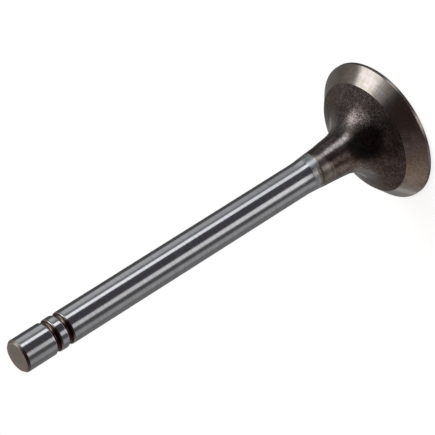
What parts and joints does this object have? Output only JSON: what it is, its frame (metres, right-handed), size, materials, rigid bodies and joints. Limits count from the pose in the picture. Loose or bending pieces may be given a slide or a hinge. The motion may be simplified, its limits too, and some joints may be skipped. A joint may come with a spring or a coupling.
{
  "type": "engine valve",
  "caption": "Poppet valve for a heavy diesel engine: round head with a 45 degree seat, swept forged neck, ground stem and grooves for split keepers near the chamfered tip.",
  "frame": {"origin": "centre of the combustion face, on the valve's axis", "axes": "+Z along the stem from the head to the tip; X and Y lie in the combustion face"},
  "size_m": [0.0412, 0.0412, 0.1284],
  "materials": {
    "valve_steel": "ground and hard chromed stem, ground seat and margin, blasted forging skin on the neck and underside, straw heat tint at the tip"
  },
  "bodies": {
    "root": {"engine_valve": "valve_steel"}
  },
  "joints": []
}
